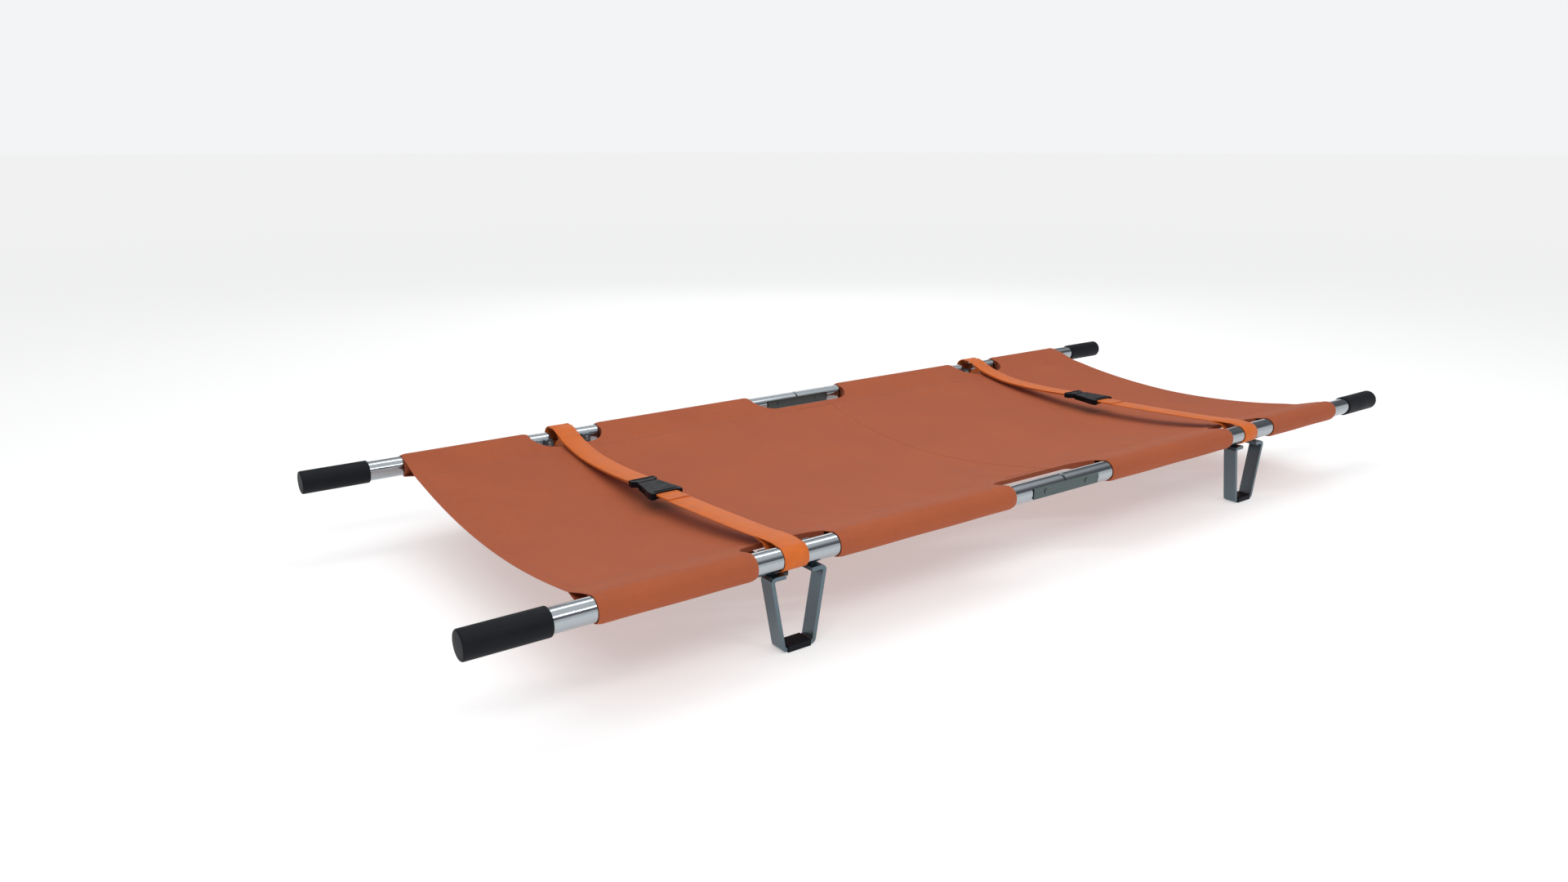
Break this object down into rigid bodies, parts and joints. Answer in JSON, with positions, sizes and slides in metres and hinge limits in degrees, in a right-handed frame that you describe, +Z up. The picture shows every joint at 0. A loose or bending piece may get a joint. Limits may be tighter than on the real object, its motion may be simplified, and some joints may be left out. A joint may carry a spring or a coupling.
{
  "type": "folding stretcher",
  "caption": "Folding pole stretcher with a canvas bed, hinged aluminium poles, rubber grips, loop legs, hinged cross spreaders and buckled patient straps.",
  "frame": {"origin": "on the floor, under the middle of the bed", "axes": "+X along the poles towards the foot end, +Y across the bed towards the patient's left pole, +Z up"},
  "size_m": [2.2, 0.8428, 0.1695],
  "materials": {
    "aluminium_tube": "brushed, bright",
    "grip_rubber": "fine ribbed, matt",
    "leg_alloy": "satin mill finish",
    "hinge_steel": "satin, zinc plated",
    "fastener_steel": "bright zinc",
    "plug_alloy": "machined",
    "spreader_steel": "grey powder coat",
    "canvas": "coated plain-weave canvas",
    "webbing": "woven nylon webbing",
    "buckle_plastic": "moulded acetal"
  },
  "bodies": {
    "right_head": {"right_head_tube": "aluminium_tube", "right_head_grip": "grip_rubber", "right_head_hinge_plug": "plug_alloy", "right_head_leg": "leg_alloy", "right_head_leg_pad": "grip_rubber", "right_head_leg_saddles": "leg_alloy", "right_head_spreader_bracket": "spreader_steel", "right_head_fasteners": "fastener_steel", "right_head_sleeve": "canvas", "head_strap_right": "webbing", "bed_head": "canvas"},
    "right_link": {"right_hinge_plates": "hinge_steel", "right_hinge_pins": "hinge_steel", "bed_middle": "canvas"},
    "right_foot": {"right_foot_tube": "aluminium_tube", "right_foot_grip": "grip_rubber", "right_foot_hinge_plug": "plug_alloy", "right_foot_leg": "leg_alloy", "right_foot_leg_pad": "grip_rubber", "right_foot_leg_saddles": "leg_alloy", "right_foot_spreader_bracket": "spreader_steel", "right_foot_fasteners": "fastener_steel", "right_foot_sleeve": "canvas", "foot_strap_right": "webbing", "bed_foot": "canvas"},
    "left_head": {"left_head_tube": "aluminium_tube", "left_head_grip": "grip_rubber", "left_head_hinge_plug": "plug_alloy", "left_head_leg": "leg_alloy", "left_head_leg_pad": "grip_rubber", "left_head_leg_saddles": "leg_alloy", "left_head_spreader_bracket": "spreader_steel", "left_head_fasteners": "fastener_steel", "left_head_sleeve": "canvas", "head_strap_left": "webbing"},
    "left_link": {"left_hinge_plates": "hinge_steel", "left_hinge_pins": "hinge_steel"},
    "left_foot": {"left_foot_tube": "aluminium_tube", "left_foot_grip": "grip_rubber", "left_foot_hinge_plug": "plug_alloy", "left_foot_leg": "leg_alloy", "left_foot_leg_pad": "grip_rubber", "left_foot_leg_saddles": "leg_alloy", "left_foot_spreader_bracket": "spreader_steel", "left_foot_fasteners": "fastener_steel", "left_foot_sleeve": "canvas", "foot_strap_left": "webbing"},
    "head_arm_right": {"head_arm_right": "spreader_steel"},
    "head_arm_left": {"head_arm_left": "spreader_steel"},
    "head_buckle_socket": {"head_buckle_socket": "buckle_plastic"},
    "head_buckle_plug": {"head_buckle_plug": "buckle_plastic"},
    "head_prong_outer": {"head_buckle_prong_outer": "buckle_plastic"},
    "head_prong_inner": {"head_buckle_prong_inner": "buckle_plastic"},
    "foot_arm_right": {"foot_arm_right": "spreader_steel"},
    "foot_arm_left": {"foot_arm_left": "spreader_steel"},
    "foot_buckle_socket": {"foot_buckle_socket": "buckle_plastic"},
    "foot_buckle_plug": {"foot_buckle_plug": "buckle_plastic"},
    "foot_prong_outer": {"foot_buckle_prong_outer": "buckle_plastic"},
    "foot_prong_inner": {"foot_buckle_prong_inner": "buckle_plastic"}
  },
  "joints": [
    {"name": "width_fold", "type": "hinge", "parent": "right_head", "child": "head_arm_right", "pos_m": [-0.59, -0.367, 0.106], "axis": [0, 0, -1], "range_deg": [0, 87], "deforming": ["bed_head", "bed_middle", "bed_foot", "head_strap_right", "head_strap_left", "foot_strap_right", "foot_strap_left"]},
    {"name": "head_arm_middle", "type": "hinge", "parent": "head_arm_right", "child": "head_arm_left", "pos_m": [-0.59, 0, 0.106], "axis": [0, 0, -1], "range_deg": [-174, 0]},
    {"name": "head_arm_end", "type": "hinge", "parent": "head_arm_left", "child": "left_head", "pos_m": [-0.59, 0.367, 0.106], "axis": [0, 0, -1], "range_deg": [0, 87]},
    {"name": "length_fold", "type": "hinge", "parent": "right_head", "child": "right_link", "pos_m": [-0.054, -0.4, 0.148], "axis": [0, -1, 0], "range_deg": [0, 90]},
    {"name": "right_link_foot", "type": "hinge", "parent": "right_link", "child": "right_foot", "pos_m": [0.054, -0.4, 0.148], "axis": [0, -1, 0], "range_deg": [0, 90]},
    {"name": "left_link_head", "type": "hinge", "parent": "left_head", "child": "left_link", "pos_m": [-0.054, 0.4, 0.148], "axis": [0, -1, 0], "range_deg": [0, 90]},
    {"name": "left_link_foot", "type": "hinge", "parent": "left_link", "child": "left_foot", "pos_m": [0.054, 0.4, 0.148], "axis": [0, -1, 0], "range_deg": [0, 90]},
    {"name": "foot_arm_start", "type": "hinge", "parent": "right_foot", "child": "foot_arm_right", "pos_m": [0.59, -0.367, 0.106], "axis": [0, 0, -1], "range_deg": [-87, 0]},
    {"name": "foot_arm_middle", "type": "hinge", "parent": "foot_arm_right", "child": "foot_arm_left", "pos_m": [0.59, 0, 0.106], "axis": [0, 0, -1], "range_deg": [0, 174]},
    {"name": "head_buckle_glide", "type": "slide", "parent": "right_head", "child": "head_buckle_socket", "axis": [0, -0.9943, 0.1068], "range_m": [0, 0.35603]},
    {"name": "head_buckle_release", "type": "slide", "parent": "head_buckle_socket", "child": "head_buckle_plug", "axis": [0, 1, 0], "range_m": [0, 0.045]},
    {"name": "head_prong_outer_squeeze", "type": "hinge", "parent": "head_buckle_plug", "child": "head_prong_outer", "pos_m": [-0.612, 0.0318, 0.1475], "axis": [0, 0, 1], "range_deg": [0, 7], "stiffness_Nm_per_rad": 0.5},
    {"name": "head_prong_inner_squeeze", "type": "hinge", "parent": "head_buckle_plug", "child": "head_prong_inner", "pos_m": [-0.584, 0.0318, 0.1475], "axis": [0, 0, -1], "range_deg": [0, 7], "stiffness_Nm_per_rad": 0.5},
    {"name": "foot_buckle_glide", "type": "slide", "parent": "right_foot", "child": "foot_buckle_socket", "axis": [0, -0.9943, 0.1068], "range_m": [0, 0.35603]},
    {"name": "foot_buckle_release", "type": "slide", "parent": "foot_buckle_socket", "child": "foot_buckle_plug", "axis": [0, 1, 0], "range_m": [0, 0.045]},
    {"name": "foot_prong_outer_squeeze", "type": "hinge", "parent": "foot_buckle_plug", "child": "foot_prong_outer", "pos_m": [0.596, 0.0318, 0.1475], "axis": [0, 0, -1], "range_deg": [0, 7], "stiffness_Nm_per_rad": 0.5},
    {"name": "foot_prong_inner_squeeze", "type": "hinge", "parent": "foot_buckle_plug", "child": "foot_prong_inner", "pos_m": [0.568, 0.0318, 0.1475], "axis": [0, 0, 1], "range_deg": [0, 7], "stiffness_Nm_per_rad": 0.5}
  ],
  "couplings": [
    {"joint": "head_arm_middle", "follows": "width_fold", "ratio": -2},
    {"joint": "head_arm_end", "follows": "width_fold", "ratio": 1},
    {"joint": "right_link_foot", "follows": "length_fold", "ratio": 1},
    {"joint": "left_link_head", "follows": "length_fold", "ratio": 1},
    {"joint": "left_link_foot", "follows": "length_fold", "ratio": 1},
    {"joint": "foot_arm_start", "follows": "width_fold", "ratio": -1},
    {"joint": "foot_arm_middle", "follows": "width_fold", "ratio": 2},
    {"joint": "head_buckle_glide", "follows": "width_fold", "m_per_rad": 0.23434},
    {"joint": "foot_buckle_glide", "follows": "width_fold", "m_per_rad": 0.23434}
  ]
}
